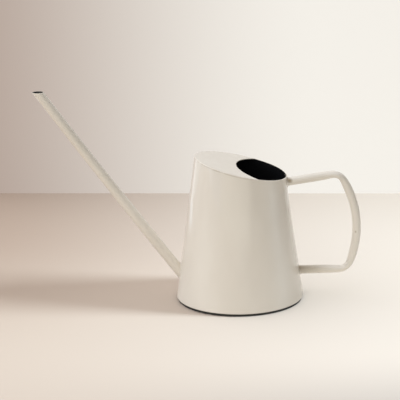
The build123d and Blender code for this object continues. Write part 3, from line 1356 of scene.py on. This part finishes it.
@dataclass(frozen=True)
class StainAndShade:
    """Brown mark along a line, used for stains in the enamel and for painted shade: its ends, how far it
    reaches and how strong it is.

    Its edge is broken up by noise, with so many lumps to the reach. Its core is the share of the reach with
    full strength, and fading is the loss of strength along the line.
    """

    start: Triple
    end: Triple
    reach: float
    strength: float
    broken: float
    core: float = 0.45
    fading: float = 0.0
    lumps: float = 0.9

    def share(self, graph: Graph, place: Socket) -> Value:
        """How brown each place is: strength, less towards the edge and along the line.

        Args:
            graph: the material's nodes.
            place: Object coordinates.
        Returns:
            The share of brown.
        """
        away, along = graph.near(place, self.start, self.end)
        ragged = graph.noise(place, Grain(self.lumps / self.reach, detail=3.0)) * self.broken
        edge = ragged + away * (1 / self.reach)
        strength = self.strength - along.ease(0.0, 1.0) * (self.fading * self.strength)
        return (1 - edge.ease(self.core, 1.0)) * strength


# At the handle's upper weld: partly a brown weld stain, partly painted shade in the corner between wall and
# tube.
TOP_WELD_STAIN_AND_SHADE = StainAndShade((0.0555, -0.005, 0.15), (0.06, -0.005, 0.143), 4.6 * MM, 0.75, broken=0.1, core=0.1)
# Painted shade on the upper front of the handle's lower run, darkest by the wall and fading away from it.
LOW_RUN_PAINTED_SHADE = StainAndShade((0.069, -0.0035, 0.0357), (0.115, -0.0035, 0.0357), 11.0 * MM, 0.65, broken=0.3,
                      core=0.1, fading=1.0)
GRIP_SPECK = StainAndShade((0.1373, -0.005, 0.0782), (0.1373, -0.005, 0.0786), 1.7 * MM, 0.4, broken=0.2)


@dataclass(frozen=True)
class CreamEnamel(Finish):
    """Glossy cream enamel with a faint drift of tone, brown marks, and black on the inside of hollow pieces.
    Besides a speck and a weld stain, some of the brown is painted shade on the handle.

    The enamel is thin along the front of the rim, in the band thin_edge below the rim's plane and between
    the fades thin_from and thin_to along x. Black starts at the share lining_edge through the sheet.
    """

    cone: Cone
    slot: Slot = Slot.CREAM
    black: Triple = (0.006, 0.006, 0.007)
    brown: Triple = (0.22, 0.135, 0.03)
    drift: Grain = Grain(16.0, 3.0, (1.0, 1.0, 0.5))
    drift_fade: Band = (0.3, 0.7)
    drift_dark: Triple = (0.97, 0.965, 0.955)
    drift_pale: float = 1.02
    roughness: float = 0.01
    haze: Grain = Grain(60.0, 3.0)
    haze_depth: float = 0.06
    mark_matt: float = 0.6
    lining_matt: float = 0.35
    lining_edge: Band = (0.72, 0.9)
    lining_torn: Grain = Grain(900.0)
    torn_depth: float = 0.2
    ior: float = 1.56
    peel_fine: Grain = Grain(420.0, 2.0)
    peel_broad: Grain = Grain(70.0, 1.0, (1.0, 1.0, 0.35))
    fine_share: float = 0.5
    peel_strength: float = 0.05
    peel_height: float = 0.1 * MM
    thin: Grain = Grain(130.0, 3.0)
    thin_fade: Band = (0.3, 0.65)
    thin_least: float = 0.3
    thin_strength: float = 0.3
    thin_edge: Band = (0.2 * MM, 2.0 * MM)
    thin_soft: float = 0.8 * MM
    thin_from: Band = (-0.054, -0.045)
    thin_to: Band = (-0.005, 0.02)
    stains_and_shade: tuple[StainAndShade, ...] = (TOP_WELD_STAIN_AND_SHADE, LOW_RUN_PAINTED_SHADE, GRIP_SPECK)

    def edge_line(self, graph: Graph, place: Socket) -> Value:
        """Uneven line of thin enamel just below the rim's plane, at the front of the body only.

        Args:
            graph: the material's nodes.
            place: Object coordinates.
        Returns:
            The share of brown.
        """
        x, _, z = graph.split(place)
        below = self.cone.rim_height - self.cone.fall * x - z
        front = x.ease(*self.thin_from) * (1 - x.ease(*self.thin_to))
        patches = graph.noise(place, self.thin).ease(*self.thin_fade)
        uneven = patches * (1 - self.thin_least) + self.thin_least
        return below.band(*self.thin_edge, self.thin_soft) * front * uneven * self.thin_strength

    def inputs(self, graph: Graph, place: Socket) -> dict[str, Any]:
        """Inputs of the shader, with the lining attribute for the black inside.

        Args:
            graph: the material's nodes.
            place: Object coordinates.
        Returns:
            A value for each socket.
        """
        cream = record_colour(self.slot)
        drift = graph.noise(place, self.drift).ease(*self.drift_fade)
        tone = graph.blend(drift, cream * self.drift_dark, np.minimum(cream * self.drift_pale, 1))
        marks = self.edge_line(graph, place)
        # Brown marks: a speck, and on the handle a weld stain and painted shade.
        for brown_mark in self.stains_and_shade:
            marks = marks + brown_mark.share(graph, place)
        marked_tone = graph.blend(marks, tone, self.brown)
        depth = graph.noise(place, self.lining_torn) * self.torn_depth + graph.attribute(LINING_DEPTH)
        inside = depth.ease(*self.lining_edge)
        haze = graph.noise(place, self.haze) * self.haze_depth + self.roughness
        peel = graph.noise(place, self.peel_fine) * self.fine_share + graph.noise(place, self.peel_broad)
        return {"Base Color": graph.blend(inside, marked_tone, self.black),
                "Roughness": haze + inside * self.lining_matt + marks * self.mark_matt,
                "IOR": self.ior,
                "Normal": graph.bump(peel, self.peel_strength, self.peel_height)}


@dataclass(frozen=True)
class DarkLining(Finish):
    """Black satin lining inside the can, mottled where it was fired."""

    slot: Slot = Slot.LINING
    mottle: Grain = Grain(140.0, 3.0)
    darker: float = 0.6
    paler: float = 1.4
    roughness: float = 0.35
    haze_depth: float = 0.2
    pores: Grain = Grain(600.0)
    pore_strength: float = 0.2
    pore_height: float = 0.1 * MM

    def inputs(self, graph: Graph, place: Socket) -> dict[str, Any]:
        """Inputs of the shader, all mottled alike.

        Args:
            graph: the material's nodes.
            place: Object coordinates.
        Returns:
            A value for each socket.
        """
        black = record_colour(self.slot)
        mottle = graph.noise(place, self.mottle)
        return {"Base Color": graph.blend(mottle, black * self.darker, black * self.paler),
                "Roughness": mottle * self.haze_depth + self.roughness,
                "Normal": graph.bump(graph.noise(place, self.pores), self.pore_strength, self.pore_height)}


@dataclass(frozen=True)
class FootRubberAndShade(Finish):
    """Matt black rubber with a fine grain, and dusty in patches; as the pad's black it also serves as painted
    shade for the dark line under the can.
    """

    slot: Slot = Slot.RUBBER
    dust: Triple = (0.09, 0.085, 0.078)
    dust_patches: Grain = Grain(90.0, 3.0)
    dust_edge: Band = (0.5, 0.8)
    dust_strength: float = 0.35
    grain: Grain = Grain(1500.0, 2.0)
    roughness: float = 0.7
    haze_depth: float = 0.15
    grain_strength: float = 0.3
    grain_height: float = 0.1 * MM

    def inputs(self, graph: Graph, place: Socket) -> dict[str, Any]:
        """Inputs of the shader, with one grain for its roughness and its normal.

        Args:
            graph: the material's nodes.
            place: Object coordinates.
        Returns:
            A value for each socket.
        """
        grain = graph.noise(place, self.grain)
        dusty = graph.noise(place, self.dust_patches).ease(*self.dust_edge) * self.dust_strength
        return {"Base Color": graph.blend(dusty, record_colour(self.slot), self.dust),
                "Roughness": grain * self.haze_depth + self.roughness,
                "Normal": graph.bump(grain, self.grain_strength, self.grain_height)}


# The studio

def stage_sheet(name: str, corner: Triple, first: Triple, second: Triple) -> bpy.types.Object:
    """Flat sheet of stage.

    Args:
        name: the object's name.
        corner: one corner.
        first, second: its sides; the face looks along first x second.
    Returns:
        The object, marked as stage, without a material.
    """
    share = np.array([(0, 0), (1, 0), (1, 1), (0, 1)], float)
    points = np.array(corner) + share[:, :1] * np.array(first) + share[:, 1:] * np.array(second)
    mesh = bpy.data.meshes.new(name)
    mesh.from_pydata(points.tolist(), [], [(0, 1, 2, 3)])
    made = bpy.data.objects.new(name, mesh)
    bpy.context.scene.collection.objects.link(made)
    return made


@dataclass(frozen=True)
class Floor:
    """Matt floor in warm tones that are pale under the floor's lamp, with light and shade painted into its
    tones.

    From the camera's side back, its tone goes from front to right on the right half, and from left to behind
    on the left half. The front, the left and most of all the part behind are darker as painted shade. A pale
    patch far back on the left is painted light, and the far right is dim as painted shade. Each fade is where
    one tone gives way to the next, along x or y.
    """

    reach: float = 3.5
    roughness: float = 0.7
    # Tones with painted light and shade: front, left, behind and far_right are painted shade, corner is a
    # patch of painted light.
    front: Triple = (0.31, 0.27, 0.235)
    right: Triple = (0.63, 0.55, 0.47)
    left: Triple = (0.47, 0.37, 0.29)
    behind: Triple = (0.32, 0.22, 0.16)
    corner: Triple = (0.8, 0.8, 0.8)
    far_right: Triple = (0.23, 0.165, 0.12)
    front_fade: Band = (-0.5, -0.2)
    behind_fade: Band = (-0.2, 0.3)
    across_fade: Band = (-0.45, 0.3)
    corner_x: Band = (-0.6, -0.4)
    corner_soft: float = 0.1
    corner_fade: Band = (0.28, 0.4)
    far_right_fade: Band = (0.25, 0.75)

    def build(self) -> bpy.types.Object:
        """Makes the floor.

        Returns:
            The floor.
        """
        side = 2 * self.reach
        made = stage_sheet("floor", (-self.reach, -self.reach, 0.0), (side, 0.0, 0.0), (0.0, side, 0.0))
        material = bpy.data.materials.new("floor_painted_light_and_shade")
        graph = Graph(material)
        x, y, _ = graph.split(graph.place())
        # Painted shade: darker towards the front on the right half and towards the back on the left half.
        right = graph.blend(y.ease(*self.front_fade), self.front, self.right)
        left = graph.blend(y.ease(*self.behind_fade), self.left, self.behind)
        # Painted shade: the left half darker than the right.
        colour = graph.blend(x.ease(*self.across_fade), left, right)
        # Painted light: a pale patch far back on the left.
        corner = x.band(*self.corner_x, self.corner_soft) * y.ease(*self.corner_fade)
        colour = graph.blend(corner, colour, self.corner)
        # Painted shade: the far right dim.
        colour = graph.blend(x.ease(*self.far_right_fade), colour, self.far_right)
        graph.end(graph.principled({"Base Color": colour, "Roughness": self.roughness}))
        made.data.materials.append(material)
        return made


@dataclass(frozen=True)
class Backdrop:
    """Pale wall behind the can, which comes nearer to the right by its skew and shows from its front only.

    Within the picture it is beige behind the spout and pale behind the handle. Beside the picture it is
    bright on the left, most of all high up, and dim on the right. It glows by the share glow of its tone and
    is matt by the share matt. Each fade is where one tone gives way to the next, along x or z.
    """

    distance: float = 0.462
    skew: float = 0.1
    reach: float = 9.0
    height: float = 1.0
    left: Triple = (0.43, 0.335, 0.285)
    right: Triple = (0.915, 0.89, 0.835)
    beside_left: Triple = (1.4, 1.4, 1.4)
    far_left: Triple = (0.75, 0.8, 0.8)
    beside_right: Triple = (0.25, 0.205, 0.16)
    high_left: Triple = (2.3, 2.3, 2.3)
    black: Triple = (0.0, 0.0, 0.0)
    glow: float = 0.8
    matt: float = 0.25
    across_fade: Band = (-0.45, 0.15)
    beside_right_fade: Band = (0.4, 0.6)
    beside_left_fade: Band = (-0.4, -0.33)
    far_left_fade: Band = (-0.75, -0.45)
    high_fade: Band = (0.45, 0.6)
    high_x: Band = (-1.1, -0.1)
    high_soft: float = 0.4

    def build(self) -> None:
        """Makes the wall, clear where it is seen from behind."""
        nearer = self.skew * self.reach
        made = stage_sheet("backdrop", (-self.reach, self.distance + nearer, 0.0),
                           (2 * self.reach, -2 * nearer, 0.0), (0.0, 0.0, self.height))
        material = bpy.data.materials.new("pale_backdrop")
        graph = Graph(material)
        x, _, z = graph.split(graph.place())
        seen = graph.blend(x.ease(*self.across_fade), self.left, self.right)
        colour = graph.blend(x.ease(*self.beside_right_fade), seen, self.beside_right)
        colour = graph.blend(x.ease(*self.beside_left_fade), self.beside_left, colour)
        colour = graph.blend(x.ease(*self.far_left_fade), self.far_left, colour)
        high = z.ease(*self.high_fade) * x.band(*self.high_x, self.high_soft)
        wall = graph.principled({
            "Base Color": graph.blend(self.matt, self.black, seen), "Specular IOR Level": 0.0,
            "Emission Color": graph.blend(high, colour, self.high_left), "Emission Strength": self.glow})
        clear = graph.node("ShaderNodeBsdfTransparent").outputs[0]
        behind = graph.node("ShaderNodeNewGeometry").outputs["Backfacing"]
        shader = graph.node("ShaderNodeMixShader", None, {0: behind, 1: wall, 2: clear})
        graph.end(shader.outputs[0])
        material.cycles.emission_sampling = "NONE"
        made.data.materials.append(material)


@dataclass(frozen=True)
class Patch:
    """Patch of the room that gives light.

    The angles go round the can from the camera's side, to the right, with edges as wide as soft. The
    heights are those of the directions' unit vectors, from -1 straight down to 1 straight up.
    """

    angles: Band
    heights: Band
    colour: Triple
    soft: float


@dataclass(frozen=True)
class RoomLight:
    """Soft light of the room, and a lamp on the right that lights the floor alone."""

    overhead: Patch = Patch((-200.0, 200.0), (0.8, 1.2), (1.35, 1.35, 1.4), 40.0)
    above_left: Patch = Patch((-200.0, 0.0), (0.5, 0.8), (1.35, 1.35, 1.4), 40.0)
    in_front: Patch = Patch((-45.0, 22.0), (-1.2, 0.5), (1.15, 1.1, 0.95), 20.0)
    left: Patch = Patch((-90.0, -45.0), (-1.2, 0.5), (0.6, 0.65, 0.75), 14.0)
    left_strip: Patch = Patch((-87.0, -73.0), (-1.2, 0.5), (0.6, 0.65, 0.75), 5.0)
    high_left: Patch = Patch((-140.0, -80.0), (0.3, 0.8), (1.0, 1.1, 1.2), 16.0)
    height_soft: float = 0.1
    dark: Triple = (0.0, 0.0, 0.0)
    lamp_towards: Triple = (-4.0, 0.63, -2.1)
    lamp_width: float = 17.5
    lamp_energy: float = 5.6
    lamp_colour: Triple = (0.68, 0.83, 0.95)

    def room(self) -> None:
        """Light of the room as the world's colour: the sum of the patches."""
        world = bpy.data.worlds.new("soft_room")
        bpy.context.scene.world = world
        graph = Graph(world)
        x, y, z = graph.split(graph.node("ShaderNodeTexCoord").outputs["Generated"])
        angle = graph.math("ARCTAN2", x, -1 * y) * (180 / math.pi)
        colour: Any = self.dark
        for patch in (self.above_left, self.overhead, self.in_front,
                      self.left, self.left_strip, self.high_left):
            share = angle.band(*patch.angles, patch.soft) * z.band(*patch.heights, self.height_soft)
            colour = graph.blend(share, colour, patch.colour, "ADD")
        shader = graph.node("ShaderNodeBackground", None, {"Color": colour})
        graph.end(shader.outputs[0], "ShaderNodeOutputWorld")

    def floor_lamp(self, floor: bpy.types.Object) -> None:
        """Soft lamp for the floor alone, by which the can's shadow falls to the left.

        Args:
            floor: the floor.
        """
        lamp = bpy.data.lights.new("floor_lamp", "SUN")
        lamp.angle, lamp.energy = math.radians(self.lamp_width), self.lamp_energy
        lamp.color = self.lamp_colour
        made = bpy.data.objects.new("floor_lamp", lamp)
        made.rotation_euler = Vector(self.lamp_towards).to_track_quat("-Z", "Y").to_euler()
        bpy.context.scene.collection.objects.link(made)
        lit = bpy.data.collections.new("lit_by_floor_lamp")
        lit.objects.link(floor)
        made.light_linking.receiver_collection = lit

    def build(self, floor: bpy.types.Object) -> None:
        """Lights the room and the floor."""
        self.floor_lamp(floor)
        self.room()


@dataclass(frozen=True)
class Viewpoint:
    """Camera that sees the aim at its pixel, at the fitted angles, distance and scale.

    Pixels are counted from the upper left of a square picture.
    """

    elevation: float = 15.70
    azimuth: float = -1.50
    roll: float = 1.10
    distance: float = 2.5
    aim: Triple = (0.0, 0.0, 0.1012)
    aim_pixel: Band = (238.9, 215.2)
    pixels_per_metre: float = 848.3
    image_width: float = 400.0
    sensor: float = 36.0
    clip: Band = (0.05, 50.0)

    def build(self) -> None:
        """Places the camera one distance back from the aim, along the ray of its pixel."""
        elevation, azimuth, roll = np.radians((self.elevation, self.azimuth, self.roll))
        level = np.array((math.sin(azimuth), -math.cos(azimuth), 0.0))
        back = math.cos(elevation) * level + np.array((0.0, 0.0, math.sin(elevation)))
        right = np.array((math.cos(azimuth), math.sin(azimuth), 0.0))
        up = np.cross(back, right)
        axes = spread(math.cos(roll) * right - math.sin(roll) * up,
                      math.cos(roll) * up + math.sin(roll) * right, back)
        focal = self.pixels_per_metre * self.distance
        centre = self.image_width / 2
        ray = unit(np.array((self.aim_pixel[0] - centre, centre - self.aim_pixel[1], -focal)))
        place = np.array(self.aim) - self.distance * (axes @ ray)
        lens = bpy.data.cameras.new("camera")
        lens.sensor_width, lens.lens = self.sensor, self.sensor * focal / self.image_width
        lens.clip_start, lens.clip_end = self.clip
        made = bpy.data.objects.new("camera", lens)
        made.matrix_world = Matrix.Translation(Vector(place)) @ Matrix(axes.tolist()).to_4x4()
        bpy.context.scene.collection.objects.link(made)
        bpy.context.scene.camera = made


def main() -> None:
    """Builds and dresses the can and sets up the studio."""
    logging.basicConfig(level=logging.INFO, format="%(name)s: %(message)s")
    cone = Cone.from_frame()
    spout = Spout(cone)
    finishes = {finish.slot: finish.material()
                for finish in (CreamEnamel(cone), DarkLining(), FootRubberAndShade())}
    for assembly in (Body(cone, spout), Base(cone), spout, Handle(cone)):
        assembly.dress(assembly.build(), finishes)
    RoomLight().build(Floor().build())
    Backdrop().build()
    Viewpoint().build()
    bpy.context.scene.view_settings.view_transform = "Standard"


if __name__ == "__main__":
    main()
